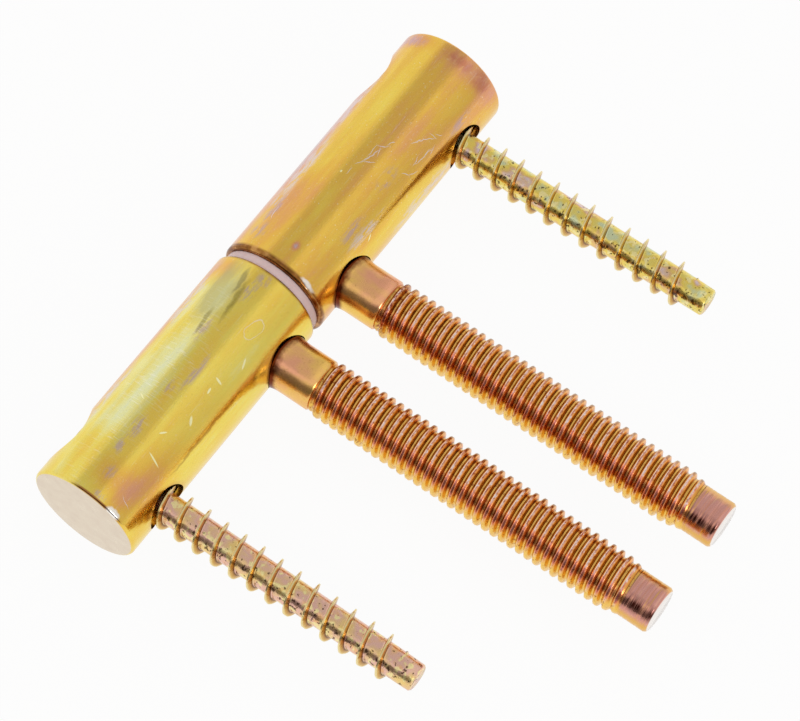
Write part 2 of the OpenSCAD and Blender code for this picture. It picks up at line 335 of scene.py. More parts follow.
film = add_up(tree, film, [(patch_mask(tree, spot, *place), amount) for *place, amount in film_spots])
chromate_shades = [(0.0, "#E2EACF"), (0.14, "#ECE8A2"), (0.28, "#F1DB68"), (0.42, "#F1CD5A"),
                   (0.56, "#EDBC56"), (0.68, "#E8AC6A"), (0.8, "#DFA084"), (0.92, "#CDB6B8"), (1.0, "#C2BFC8")]
colour = add(tree, "ShaderNodeValToRGB", {0: film}, chromate_shades)
print(len(film_spots), "film spots,", len(chromate_shades), "shades")

# %% [markdown]
# Plating is done in a turning drum, where the parts knock and rub against each other. That rubs ragged spots
# of the film away to lavender-grey zinc, and leaves short bright nicks, fibrous scuffs and fine pale dust, among
# which painted glints sparkle. The scuffs are thin ovals on coordinates that a noise has shaken, so that they
# waver and break up. Olive streaks and brown lines are painted dark reflections, and where a bar lay on others,
# it is scratched across, with the scratches painted bright where the highlight band falls.
# All marks are drawn a little coarser than real, so that they show.

# %% Grain and rubbed spots


def ovals(tree, spot, places):
    """The highest of several oval masks; each place is what patch_mask takes."""
    highest = None
    for place in places:
        oval = patch_mask(tree, spot, *place)
        highest = add(tree, MATH, {0: oval, 1: highest}, operation="MAXIMUM") if highest else oval
    return highest


coats = []
for name, start, full, amount, shade in (("grain", 0.42, 0.3, 0.14, "#B07C30"),
                                         ("grain", 0.6, 0.72, 0.25, "#FAF0C4"),
                                         ("hair", 0.64, 0.74, 0.3, "#F4EAE0")):
    marks = add(tree, RANGE, {"Value": cloud[name], "From Min": start, "From Max": full, "To Max": amount})
    coats.append((marks, shade))
torn = add(tree, RANGE, {"Value": cloud["ragged"], "From Min": 0.4, "From Max": 0.54})
fibres = add(tree, RANGE, {"Value": cloud["hair"], "From Min": 0.36, "From Max": 0.58, "To Min": 0.3})
rubbed_spots = [(-30, 2, 3.4, 1.3), (-33.4, 1, 2.2, 1.1), (-37, 10, 1.8, 1.3), (-22.9, 2, 2.2, 0.9),
                (-19.4, 12, 5.4, 0.9), (-5.7, 1, 3.2, 1.4), (-3.2, 5, 1.6, 1.8), (-13.6, -11, 3.6, 1.2),
                (LOWER_END + 0.9, 17, 0.9, 1.7), (10.6, 40, 4, 1.4), (19.3, 33, 3.4, 1.6),
                (7, -39.5, 4.4, 1.5), (3.2, -37, 2.4, 2.2), (39.6, -50, 2.2, 5.0), (33, 55, 4, 1.2)]
rub = ovals(tree, spot, rubbed_spots)
for mask in (torn, fibres):
    rub = add(tree, MATH, {0: rub, 1: mask}, operation="MULTIPLY")
rub = add(tree, RANGE, {"Value": rub, "From Min": 0.1, "From Max": 0.7, "To Max": 0.6})
colour = paint(tree, colour, [*coats, (rub, "#BBA4B6")])
print(len(rubbed_spots), "rubbed spots")

# %% Scuffs
SHAKE = 1.0


def away(tree, value, middle):
    """How far a value is from a middle one, on either side."""
    offset = add(tree, MATH, {0: value, 1: middle}, operation="SUBTRACT")
    return add(tree, MATH, {0: offset}, operation="ABSOLUTE")


shake = add(tree, NOISE, {"Vector": spot, "Scale": per(1.6), "Detail": 3.0})
shake = add(tree, "ShaderNodeVectorMath", {0: shake.outputs["Color"], 1: (0.5, 0.5, 0.5)}, operation="SUBTRACT")
shaken = add(tree, "ShaderNodeVectorMath", {0: shake, 1: (SHAKE * MM,) * 3, 2: spot},
             operation="MULTIPLY_ADD").outputs[0]
# place along the hinge, lean from the top, half length, half width, turn from the hinge axis
scuff_lines = [
    (20.4, 7, 3.6, 0.13, -17), (22.6, 10, 1.7, 0.11, -50), (21.6, 11, 1.4, 0.1, 20), (18.6, 3, 1.6, 0.1, -35),
    (21.2, 5, 2.2, 0.09, -4), (19.6, 9, 1.5, 0.09, -62), (23.6, 14, 1.3, 0.09, -28),
    (16.8, 0, 1.3, 0.09, -12), (27.6, 37, 3.0, 0.13, -38), (28.8, 41, 1.4, 0.1, -75),
    (26.4, 31, 1.8, 0.09, -20), (29.6, 45, 1.2, 0.09, -50), (25.6, 47, 3.6, 0.12, -7),
    (23.0, 50, 1.8, 0.1, -30), (24.4, 44, 1.6, 0.09, 18), (26.8, 49, 1.8, 0.09, -14), (27.4, 51, 1.5, 0.1, 25),
    (22, 44, 1.4, 0.1, -60), (6.4, -36, 2.4, 0.12, 10), (-38.6, 40, 2.0, 0.12, 65),
]
scuff = add(tree, RANGE, {"Value": ovals(tree, shaken, scuff_lines), "From Min": 0.3, "From Max": 0.8})
# one scuff is a ring, left by the rim of another part
ring = away(tree, patch_mask(tree, shaken, -9.5, 28, 2.8, 1.4, -10), 0.3)
ring = add(tree, RANGE, {"Value": ring, "From Min": 0.08, "From Max": 0.02})
ring = add(tree, MATH, {0: ring, 1: cloud["drift"]}, operation="MULTIPLY")
scuff = add(tree, MATH, {0: scuff, 1: ring}, operation="MAXIMUM")
scuff = add(tree, MATH, {0: scuff, 1: 0.75}, operation="MULTIPLY")
colour = paint(tree, colour, [(scuff, "#ECE6EC")])
print(len(scuff_lines), "scuffs and a ring")

# %% Painted reflection streaks, flecks, painted reflection lines and hatching
STREAK_TURN, DARK_LINE_WIDTH = 6, 0.42
coats = []
# dark olive and grey-green streaks beside the joint, painted as reflections of something dark
for *place, shade in ((-7.5, -24, 9.0, 4.6, "#BCBA8E"), (-8.2, -4, 6.0, 0.8, "#8C7C3A"),
                      (-5.0, -12, 3.6, 0.7, "#9A8E58"), (-12.5, -15, 4.0, 0.6, "#9C9258")):
    dark_reflection_streak = add(tree, MATH, {0: patch_mask(tree, shaken, *place, STREAK_TURN), 1: cloud["mottle"]},
                operation="MULTIPLY")
    dark_reflection_streak = add(tree, RANGE, {"Value": dark_reflection_streak, "From Min": 0.12, "From Max": 0.4, "To Max": 0.65})
    coats.append((dark_reflection_streak, shade))
# pale torn flecks along the outer sides, where the bars rolled over each other
for place in ((14, -48, 12, 2.2), (27, -54, 10, 2.0), (-10, -52, 10, 2.2), (-27, -54, 11, 1.6),
              (24, 84, 14, 1.8), (12, 52, 6, 1.2)):
    fleck = patch_mask(tree, shaken, *place)
    for mask in (torn, fibres):
        fleck = add(tree, MATH, {0: fleck, 1: mask}, operation="MULTIPLY")
    fleck = add(tree, RANGE, {"Value": fleck, "From Min": 0.1, "From Max": 0.6, "To Max": 0.7})
    coats.append((fleck, "#DED4D8"))
# dark lines along both bars, painted as a dark reflection
for place in ((-23.5, 58.5, 13.0), (23.5, 58.5, 11.0)):
    painted_dark_line = patch_mask(tree, shaken, *place, DARK_LINE_WIDTH)
    painted_dark_line = add(tree, RANGE, {"Value": painted_dark_line, "From Min": 0.2, "From Max": 0.6, "To Max": 0.5})
    coats.append((painted_dark_line, "#9A6424"))
# cross scratches where the lower bar lay on others, painted pale only where the highlight band falls, so they
# are partly a painted highlight
hatch = add(tree, RANGE, {"Value": cloud["hatch"], "From Min": 0.54, "From Max": 0.68, "To Max": 0.55})
hatch = add(tree, MATH, {0: hatch, 1: patch_mask(tree, spot, -24, -15, 24, 5.5)}, operation="MULTIPLY")
colour = paint(tree, colour, [*coats, (hatch, "#FBF8E0")])
# the count takes in the painted reflection streaks and lines as well as the flecks
print(len(coats), "stains, flecks and runs")

# %% Nicks and dust
nicks = [(-24.6, 37.6, 1.0, 0.3, 35), (-31.9, 34.3, 1.7, 0.18, 75), (-28.4, 24.4, 0.8, 0.18, -40),
         (-19.9, 32.3, 0.7, 0.22, 10), (-13.8, 41.8, 1.2, 0.22, 25), (-18.0, 33.5, 0.9, 0.24, 80),
         (-26, -14, 0.8, 0.16, 60), (16.1, -6.3, 0.3, 0.2, 0), (12, 60, 0.8, 0.16, 30)]
nick = add(tree, RANGE, {"Value": ovals(tree, spot, nicks), "From Min": 0.1, "From Max": 0.5})
# dust grains and painted glints in some cells of the pattern, more of them on the upper barrel
dust = add(tree, "ShaderNodeTexVoronoi", {"Vector": spot, "Scale": per(0.5)}).outputs
chance = add(tree, "ShaderNodeSeparateColor", {0: dust["Color"]}).outputs["Red"]
chosen = add(tree, RANGE, {"Value": chance, "From Min": 0.35, "From Max": 0.9})
denser_above = add(tree, RANGE, {"Value": axes["Y"], "From Min": -10 * MM, "From Max": 10 * MM, "To Min": 0.25,
                            "To Max": 0.6})
dust_and_glints = add(tree, RANGE, {"Value": dust["Distance"], "From Min": 0.2, "From Max": 0.05})
for mask in (chosen, denser_above):
    dust_and_glints = add(tree, MATH, {0: dust_and_glints, 1: mask}, operation="MULTIPLY")
colour = paint(tree, colour, [(nick, "#FFF9BE"), (dust_and_glints, "#FAF1DC")])
print(len(nicks), "nicks, and dust, in", len(tree.nodes), "nodes")

# %% [markdown]
# The ends of the bars look different from their sides. The rounded rim took a thicker film, and a brown line is
# painted on it as a dark reflection, with white painted glints; the sawn face inside it is pale, with hardly any
# film. Near the far end and round the screw holes the film is burnt red. The two faces at the washer are painted
# dark brown as shade in the gap.

# %% Rims, end faces and the joint
reach = add(tree, MATH, {0: axes["Y"]}, operation="ABSOLUTE")
# a brown line round the rim of the lower end: partly a thicker film, and over this arc a painted dark reflection
rim = add(tree, RANGE, {"Value": away(tree, reach, (UPPER_END - 0.2) * MM), "From Min": 0.26 * MM,
                        "From Max": 0.1 * MM})
painted_dark_arc = add(tree, RANGE, {"Value": patch_mask(tree, spot, LOWER_END, 20, 2.0, 5.5), "From Min": 0.1,
                          "From Max": 0.4})
rim = add(tree, MATH, {0: rim, 1: painted_dark_arc}, operation="MULTIPLY")
# a white painted glint on the rim of the lower end
painted_rim_glint = add(tree, RANGE, {"Value": patch_mask(tree, shaken, LOWER_END + 0.35, 37, 1.1, 2.0),
                               "From Min": 0.2, "From Max": 0.5})
coats = [(rim, "#A8703C"), (painted_rim_glint, "#FDF8F0")]
burnt_spots = [(UPPER_END - 1.6, 12, 2.0, 3.4, 0.1), (UPPER_END - 1.6, 44, 2.6, 3.0, 0.1),
               (leg_y["lower_lock_screw"], 90, 4.6, 4.6, 0.03), (leg_y["upper_lock_screw"], 90, 4.6, 4.6, 0.03)]
for *place, start in burnt_spots:
    burn = add(tree, RANGE, {"Value": patch_mask(tree, shaken, *place), "From Min": start,
                             "From Max": 8 * start})
    for mask in (torn, 0.6):
        burn = add(tree, MATH, {0: burn, 1: mask}, operation="MULTIPLY")
    coats.append((burn, "#C8765C"))
sawn = add(tree, RANGE, {"Value": reach, "From Min": (UPPER_END - 0.06) * MM,
                         "From Max": (UPPER_END - 0.01) * MM})
face = paint(tree, "#EADCC2", [(cloud["mottle"], "#DDCBB8")])
JOINT_MIDDLE, JOINT_HALF = (LOWER_FACE + UPPER_FACE) / 2 + 0.2, (UPPER_FACE - LOWER_FACE) / 2
# the faces beside the washer are painted dark brown, a painted shade in the gap
joint_shade = add(tree, RANGE, {"Value": away(tree, axes["Y"], JOINT_MIDDLE * MM),
                           "From Min": (JOINT_HALF + 0.8) * MM, "From Max": (JOINT_HALF + 0.35) * MM,
                           "To Max": 0.9})
joint_shade_colours = add(tree, "ShaderNodeValToRGB", {0: add_up(tree, cloud["mottle"], [(cloud["hatch"], 0.6)])},
             [(0.66, "#5E2C16"), (0.8, "#8A5228"), (0.92, "#C08C54")])
# a white painted glint on the rim of the upper barrel beside the washer
painted_joint_glint = add(tree, RANGE, {"Value": patch_mask(tree, shaken, UPPER_FACE + 0.75, 40, 0.7, 2.4),
                                "From Min": 0.25, "From Max": 0.8})
colour = paint(tree, colour, [*coats, (sawn, face), (joint_shade, joint_shade_colours), (painted_joint_glint, "#FDF4EC")])
print("rims, faces and joint in", len(tree.nodes), "nodes")

# %% Surface of the bars


def give_surface(tree, shader, colour, gloss, relief, strength, depth_mm):
    """Links a finish's colour, its roughness and a bump of that depth to its shader."""
    bump = add(tree, "ShaderNodeBump", {"Height": relief, "Strength": strength, "Distance": depth_mm * MM})
    for socket, node in (("Base Color", colour), ("Roughness", gloss), ("Normal", bump)):
        tree.links.new(next(output for output in node.outputs if output.enabled), shader.inputs[socket])


gloss = add(tree, RANGE, {"Value": cloud["mottle"], "From Min": 0.3, "From Max": 0.7, "To Min": 0.14,
                          "To Max": 0.24})
gloss = add_up(tree, gloss, [(scuff, 0.25), (rub, 0.12), (sawn, 0.12)])
# the fine orange peel of the zinc, drawn lines along the bar, and the nicks pressed in
relief = add_up(tree, cloud["peel"], [(cloud["drawn"], 0.9), (nick, -1.2), (cloud["mottle"], 1.5),
                                      (cloud["grain"], 0.3)])
give_surface(tree, shader, colour, gloss, relief, strength=0.6, depth_mm=0.02)
print(chromate_bar.name, len(tree.nodes), "nodes")

# %% [markdown]
# ## Chromate on the rolled thread
#
# A rolled thread is pressed, not cut, so its crests are burnished and took the film in pink, with painted
# highlights and glints on them, and the roots are painted with dark lines of shade. The two flanks of each turn
# are painted in different shades, as they mirror different parts of the tent. The thread's own height and the
# side of each flank come as attributes from the thread that is grown below. So the colours follow the helix
# exactly, and they stay on it from any side. Along the front the film is burnt red. The plain neck is gold, with
# a painted shade in the crevice at its foot and a dark red band where the rolling started, and the thinner point
# is rose with dark burns.

# %% Rolled thread finish: flanks and root


def leg_angle(tree, axes, kind):
    """Degrees about the axis of a leg, from its top towards the upper barrel; kind is stud or lock_screw."""
    middle = add(tree, RANGE, {"Value": axes["Y"], "From Min": -0.1 * MM, "From Max": 0.1 * MM,
                               "To Min": leg_y["lower_" + kind] * MM, "To Max": leg_y["upper_" + kind] * MM})
    sideways = add(tree, MATH, {0: axes["Y"], 1: middle}, operation="SUBTRACT")
    upward = add(tree, MATH, {0: axes["Z"], 1: AXIS_Z * MM}, operation="SUBTRACT")
    turned = add(tree, MATH, {0: sideways, 1: upward}, operation="ARCTAN2")
    return add(tree, MATH, {0: turned}, operation="DEGREES")


THREAD_START, THREAD_END, POINT_END = -15.8, 33.5, 37.7
# middle of the red stripe, in degrees about the stud
RED_AT = -48.0
chromate_thread, tree, shader, spot = new_finish("yellow_chromate_on_rolled_thread")
axes = add(tree, "ShaderNodeSeparateXYZ", {0: spot}).outputs
ridge = add(tree, "ShaderNodeAttribute", attribute_name="ridge").outputs["Fac"]
tipward = add(tree, "ShaderNodeAttribute", attribute_name="tipward").outputs["Fac"]
cloud = clouds(tree, spot, {
    "drift": (9.0, 5.0, 5.0, 3.0, 1.0), "mottle": (1.2, 1.2, 1.2, 4.0, 2.0),
    "glitter": (0.3, 0.5, 0.5, 2.0, 3.0), "rings": (0.3, 6.0, 6.0, 2.0, 4.0),
    "stipple": (0.35, 0.35, 0.35, 2.0, 5.0)})
around = leg_angle(tree, axes, "stud")
# from root to crest: beside the golden root runs a dark line of painted shade, wider on the side of the barrel;
# the two flanks get different painted reflections, more orange towards the tip and more gold towards the barrel
tip_side = add(tree, "ShaderNodeValToRGB", {0: ridge}, [
    (0.0, "#F0BC62"), (0.05, "#D09C4A"), (0.1, "#4A2A16"), (0.15, "#5E3420"), (0.22, "#E28C42"),
    (0.7, "#F4AC50"), (0.97, "#F8B470")])
back_side = add(tree, "ShaderNodeValToRGB", {0: ridge}, [
    (0.0, "#F0BC62"), (0.06, "#C8984A"), (0.12, "#301C10"), (0.24, "#301C10"), (0.34, "#F2B658"),
    (0.9, "#FBCE88")])
facing = add(tree, RANGE, {"Value": tipward, "From Min": 0.45, "From Max": 0.55})
bath = add(tree, RANGE, {"Value": cloud["drift"], "From Min": 0.46, "From Max": 0.66, "To Max": 0.4})
# towards the front the thread is burnt red, and further down it stays gold
red = add(tree, RANGE, {"Value": away(tree, around, RED_AT), "From Min": 26.0, "From Max": 12.0,
                        "To Max": 0.7})
burnt = add(tree, MATH, {0: red, 1: 0.75}, operation="MULTIPLY")
low_side = add(tree, RANGE, {"Value": around, "From Min": -58.0, "From Max": -78.0})
colour = paint(tree, back_side, [(facing, tip_side), (bath, "#E0A648"), (burnt, "#DA8660"),
                                 (low_side, "#F2C25A")])
print(chromate_thread.name, "has clouds", list(cloud))

# %% Rolled thread finish: crest
crest = add(tree, RANGE, {"Value": ridge, "From Min": 0.9, "From Max": 1.0})
crown = add(tree, "ShaderNodeValToRGB", {0: cloud["mottle"]}, [
    (0.36, "#C8604A"), (0.45, "#E4937A"), (0.54, "#F2B2A0"), (0.64, "#FFE4E4")])
# the edge towards the tip goes over to gold, the other edge gets a pale painted highlight, and pale specks on
# the crest are painted glints
golden = add(tree, RANGE, {"Value": tipward, "From Min": 0.6, "From Max": 0.85})
painted_crest_highlight = add(tree, RANGE, {"Value": tipward, "From Min": 0.34, "From Max": 0.22})
flecks = add(tree, RANGE, {"Value": cloud["glitter"], "From Min": 0.56, "From Max": 0.66, "To Max": 0.8})
# the crests share the red and the gold, and darken on the far side
far_side = add(tree, RANGE, {"Value": around, "From Min": 22.0, "From Max": 52.0})
crown = paint(tree, crown, [(golden, "#F2AC5C"), (painted_crest_highlight, "#FBE9DC"), (flecks, "#FFF2F2"),
                            (red, "#DC6C60"), (low_side, "#F6CA66"), (far_side, "#A87632")])
pits = add(tree, RANGE, {"Value": cloud["glitter"], "From Min": 0.42, "From Max": 0.34, "To Max": 0.7})
colour = paint(tree, colour, [(crest, crown), (pits, "#8A3A26")])
print("crests in", len(tree.nodes), "nodes")

# %% Rolled thread finish: neck
neck = add(tree, RANGE, {"Value": axes["X"], "From Min": (THREAD_START + 0.1) * MM,
                         "From Max": THREAD_START * MM})
rosy = add(tree, RANGE, {"Value": cloud["drift"], "From Min": 0.38, "From Max": 0.62})
dots = add(tree, RANGE, {"Value": cloud["stipple"], "From Min": 0.4, "From Max": 0.3, "To Max": 0.4})
# painted shade in the crevice round the foot, which follows the round of the barrel
off_x = add(tree, MATH, {0: axes["X"], 1: AXIS_X * MM}, operation="SUBTRACT")
off_z = add(tree, MATH, {0: axes["Z"], 1: AXIS_Z * MM}, operation="SUBTRACT")
off_axis = add(tree, "ShaderNodeVectorMath", {0: add(tree, "ShaderNodeCombineXYZ", {0: off_x, 1: off_z})},
               operation="LENGTH").outputs["Value"]
off_axis = add_up(tree, off_axis, [(cloud["mottle"], 1.2 * MM)])
painted_foot_shade = add(tree, RANGE, {"Value": off_axis, "From Min": (BARREL_R + 1.7) * MM,
                         "From Max": (BARREL_R + 1.0) * MM})
gold = paint(tree, "#F5CA66", [(rosy, "#F0AC86"), (dots, "#B88A3E"), (painted_foot_shade, "#743418")])
# where the thread starts, the rolling heat left a dark red band, most of all on the upper stud
heated = add(tree, RANGE, {"Value": away(tree, axes["X"], (THREAD_START + 1.0) * MM), "From Min": 1.2 * MM,
                           "From Max": 0.3 * MM})
upper = add(tree, RANGE, {"Value": axes["Y"], "From Min": -1 * MM, "From Max": 1 * MM, "To Min": 0.3,
                          "To Max": 0.8})
speckled = add(tree, RANGE, {"Value": cloud["glitter"], "From Min": 0.6, "From Max": 0.44})
for mask in (upper, speckled):
    heated = add(tree, MATH, {0: heated, 1: mask}, operation="MULTIPLY")
colour = paint(tree, colour, [(neck, gold), (heated, "#8C3226")])
print("neck in", len(tree.nodes), "nodes")

# %% Rolled thread finish: point and surface
# middle of the burn, in degrees about the stud
BURN_AT = -42.0
point = add(tree, RANGE, {"Value": axes["X"], "From Min": (THREAD_END - 0.3) * MM,
                          "From Max": THREAD_END * MM})
rose = add(tree, "ShaderNodeValToRGB", {0: cloud["rings"]}, [
    (0.3, "#E5B468"), (0.4, "#DC9A84"), (0.6, "#DEA298"), (0.74, "#E9B888")])
sides = [add(tree, RANGE, {"Value": around, "From Min": start, "From Max": full})
         for start, full in ((20.0, 48.0), (-66.0, -82.0))]
burn = add(tree, RANGE, {"Value": away(tree, around, BURN_AT), "From Min": 26.0, "From Max": 4.0})
ringed = add(tree, RANGE, {"Value": cloud["rings"], "From Min": 0.42, "From Max": 0.56})
burn = add(tree, MATH, {0: burn, 1: ringed}, operation="MULTIPLY")
rose = paint(tree, rose, [*((side, "#E8B45A") for side in sides), (burn, "#55241C")])
cut = add(tree, RANGE, {"Value": axes["X"], "From Min": (POINT_END - 0.05) * MM,
                        "From Max": (POINT_END - 0.01) * MM})
colour = paint(tree, colour, [(point, rose), (cut, "#F3ECE6")])
gloss = add(tree, RANGE, {"Value": cloud["mottle"], "From Min": 0.3, "From Max": 0.7, "To Min": 0.18,
                          "To Max": 0.3})
# the cut face of the point is smooth
relief = add_up(tree, cloud["glitter"], [(cloud["stipple"], 0.7)])
smooth = add(tree, RANGE, {"Value": cut, "To Min": 0.5, "To Max": 0.05})
give_surface(tree, shader, colour, gloss, relief, strength=smooth, depth_mm=0.02)
print(chromate_thread.name, len(tree.nodes), "nodes")

# %% [markdown]
# ## Chromate on the wood screws
#
# The wood screws are cheaper cut and hardened stock from other baths: one olive-gold, one with a pink core.
# Their hardening scale shows through as dark pits, painted densest along one side as a dark reflection band. The
# thin blades have a painted shade line at their foot and a painted straw-coloured highlight along the edge.

# %% Wood screw finish: core
SHANK_START, SCREW_START, SCREW_END = -33.0, -29.9, 15.4
SCREW_MIDDLE, SCREW_HALF = (SCREW_START + SCREW_END) / 2, (SCREW_END - SCREW_START) / 2
# middle of the painted dark reflection band, where the pits are densest, in degrees about the screw
DARK_BAND_AT = -52.0
chromate_screw, tree, shader, spot = new_finish("yellow_chromate_on_wood_screw")
axes = add(tree, "ShaderNodeSeparateXYZ", {0: spot}).outputs
cloud = clouds(tree, spot, {"drift": (3.0, 2.6, 2.6, 2.0, 1.0), "mottle": (1.0, 1.1, 1.1, 1.5, 2.0),
                            "pits": (0.6, 0.7, 0.7, 2.0, 3.0)})
upper = add(tree, RANGE, {"Value": axes["Y"], "From Min": -0.1 * MM, "From Max": 0.1 * MM})
olive = add(tree, "ShaderNodeValToRGB", {0: cloud["drift"]}, [
    (0.36, "#D6DCB0"), (0.44, "#EBD878"), (0.52, "#F2D468"), (0.6, "#E6BC88"), (0.68, "#E2CCD0")])
pink = add(tree, "ShaderNodeValToRGB", {0: cloud["drift"]}, [
    (0.36, "#F2D086"), (0.45, "#ECC498"), (0.54, "#EABCAC"), (0.64, "#F2BE8A")])
# the head gets fewer painted glints and less scale than the shank
shank = add(tree, RANGE, {"Value": axes["X"], "From Min": SHANK_START * MM,
                          "From Max": (SHANK_START + 2.0) * MM, "To Min": 0.15})
glints = add(tree, RANGE, {"Value": cloud["mottle"], "From Min": 0.56, "From Max": 0.61, "To Max": 0.85})
glints = add(tree, MATH, {0: glints, 1: shank}, operation="MULTIPLY")
# the dark pits are painted densest along one side, as a dark reflection band
limit = add(tree, RANGE, {"Value": away(tree, leg_angle(tree, axes, "lock_screw"), DARK_BAND_AT),
                          "From Min": 10.0, "From Max": 40.0, "To Min": 0.44, "To Max": 0.375})
scale = add(tree, MATH, {0: limit, 1: cloud["pits"]}, operation="SUBTRACT")
scale = add(tree, RANGE, {"Value": scale, "From Min": 0.0, "From Max": 0.04, "To Max": 0.85})
scale = add(tree, MATH, {0: scale, 1: shank}, operation="MULTIPLY")
colour = paint(tree, pink, [(upper, olive), (glints, "#FBEBA8"), (scale, "#4E3420")])
print(chromate_screw.name, "has clouds", list(cloud))

# %% Wood screw finish: blade and surface
# the thread's attribute counts only where its blade has risen
inside = add(tree, RANGE, {"Value": away(tree, axes["X"], SCREW_MIDDLE * MM),
                           "From Min": (SCREW_HALF - 0.2) * MM, "From Max": (SCREW_HALF - 0.4) * MM})
ridge = add(tree, "ShaderNodeAttribute", attribute_name="ridge").outputs["Fac"]
ridge = add(tree, MATH, {0: ridge, 1: inside}, operation="MULTIPLY")
# a dark line of painted shade at the foot of the blade, a brown flank, and a straw-coloured edge that is a
# painted highlight
painted_blade_shading = add(tree, "ShaderNodeValToRGB", {0: ridge}, [
    (0.0, "#5A3A1A"), (0.2, "#7A4E26"), (0.4, "#BC8A42"), (0.75, "#DCB25C"), (0.95, "#F0DCA0")])
blade = add(tree, RANGE, {"Value": ridge, "From Min": 0.02, "From Max": 0.15})
colour = paint(tree, colour, [(blade, painted_blade_shading)])
gloss = add(tree, RANGE, {"Value": cloud["mottle"], "From Min": 0.3, "From Max": 0.7, "To Min": 0.2,
                          "To Max": 0.32})
relief = add_up(tree, cloud["pits"], [(cloud["mottle"], 1.5)])
give_surface(tree, shader, colour, gloss, relief, strength=0.6, depth_mm=0.08)
print(chromate_screw.name, len(tree.nodes), "nodes")

# %% [markdown]
# ## Ground steel and nylon
#
# The pin is ground round a wheel, which leaves very fine rings about its axis, drawn coarser here, and it
# carries a thin smear of grease. The washer is natural nylon: milky, with light scattering a little way in, and
# a faint pink from the gold around it.

# %% Pin and washer finishes
ground_steel, tree, shader, spot = new_finish("ground_steel")
fine = add(tree, "ShaderNodeMapping", {0: spot, "Scale": (per(12), per(0.18), per(12))})
rings = add(tree, NOISE, {"Vector": fine, "Scale": 1.0, "Detail": 2.0}).outputs["Fac"]
smear = add(tree, NOISE, {"Vector": spot, "Scale": per(5), "Detail": 4.0}).outputs["Fac"]
greased = add(tree, RANGE, {"Value": smear, "From Min": 0.45, "From Max": 0.65})
steel = paint(tree, "#BDBDBF", [(rings, "#D6D6D8"), (greased, "#B4AFA2")])
gloss = add(tree, RANGE, {"Value": greased, "To Min": 0.2, "To Max": 0.32})
give_surface(tree, shader, steel, gloss, rings, strength=0.4, depth_mm=0.01)

natural_nylon, tree, shader, spot = new_finish("natural_nylon")
for socket, value in (("Metallic", 0.0), ("Subsurface Weight", 0.25), ("Subsurface Radius", (1.0, 0.7, 0.6)),
                      ("Subsurface Scale", 0.6 * MM)):
    shader.inputs[socket].default_value = value
haze = add(tree, NOISE, {"Vector": spot, "Scale": per(2.5), "Detail": 4.0}).outputs["Fac"]
skin = add(tree, NOISE, {"Vector": spot, "Scale": per(0.3), "Detail": 2.0}).outputs["Fac"]
milk = paint(tree, "#E6C4C2", [(haze, "#F2DBDA")])
gloss = add(tree, RANGE, {"Value": haze, "To Min": 0.36, "To Max": 0.52})
give_surface(tree, shader, milk, gloss, skin, strength=0.4, depth_mm=0.02)
print(ground_steel.name, "and", natural_nylon.name)

# %% [markdown]
# ## Turning
#
# Everything but the threads is turned on a lathe, so one helper revolves a profile: a list of places along
# the axis and radii there. A radius of zero closes the end in a point. Every piece ends the same way: doubles
# are merged, faces turned outwards, and edges sharper than a set angle kept crisp.

# %% Lathe helpers


def round_edge(along, radius, size, start, end, steps=8):
    """Points of a rounded edge: an arc of that size about (along, radius), from one angle to another."""
    angles = [radians(start + (end - start) * i / steps) for i in range(steps + 1)]
    return [(along + size * cos(a), radius + size * sin(a)) for a in angles]


def turn(shape, profile, place, columns):
    """Revolves a profile of (along, radius) pairs into shape; place turns (along, out, up) to a point."""
    rings = []
    for along, radius in profile:
        count = columns if radius > 0 else 1
        rings.append([shape.verts.new(place(along, radius * cos(2 * pi * k / columns),
                                            radius * sin(2 * pi * k / columns)) * MM) for k in range(count)])
    for one, two in zip(rings, rings[1:]):
        for k in range(columns):
            corners = [one[k % len(one)], one[(k + 1) % len(one)], two[(k + 1) % len(two)], two[k % len(two)]]
            shape.faces.new([v for i, v in enumerate(corners) if v not in corners[:i]])


def on_hinge(along, out, up):
    """A point of something turned about the hinge axis."""
    return Vector((AXIS_X + out, along, AXIS_Z + up))


def on_leg(leg):
    """The same for something turned about the axis of a leg."""
    return lambda along, out, up: Vector((along, leg_y[leg] + out, AXIS_Z + up))


def to_object(shape, name, material, sharp=35):
    """Merges doubles, turns the faces outwards and makes a smooth-shaded object with sharp edges kept."""
    bmesh.ops.remove_doubles(shape, verts=shape.verts, dist=1e-6)
    bmesh.ops.recalc_face_normals(shape, faces=shape.faces)
    mesh = bpy.data.meshes.new(name)
    shape.to_mesh(mesh)
    shape.free()
    mesh.materials.append(material)
    mesh.shade_smooth()
    mesh.set_sharp_from_angle(angle=radians(sharp))
    made = bpy.data.objects.new(name, mesh)
    bpy.context.scene.collection.objects.link(made)
    return made


def carve(piece, tools, material, sharp=35):
    """Takes the tools out of a piece and gives it back as a plain mesh."""
    name = piece.name
    for tool in tools:
        cut = piece.modifiers.new("cut", "BOOLEAN")
        cut.operation, cut.solver, cut.object = "DIFFERENCE", "EXACT", tool
    bpy.context.view_layer.update()
    carved = bpy.data.meshes.new_from_object(piece.evaluated_get(bpy.context.evaluated_depsgraph_get()))
    piece.modifiers.clear()
    for used in [piece, *tools]:
        bpy.data.objects.remove(used)
    shape = bmesh.new()
    shape.from_mesh(carved)
    return to_object(shape, name, material, sharp)


def hand_over(piece, node, body):
    """Hides the node that a finished piece stands for and lets the piece move with its body."""
    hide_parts(node)
    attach(piece, body)
    count = sum(len(face.vertices) - 2 for face in piece.data.polygons)
    print(piece.name, "for", node, "on", body, "with", count, "triangles")


# %% [markdown]
# ## The barrels
#
# A barrel is a length of bar with rounded ends, a blind bore for the pin, a seat for the stud and a cross
# hole for the wood screw that opens to a countersink on the far side. The bar is turned with many short rows,
# so that the cuts only disturb a few small faces, and a boolean takes out all the holes at once.

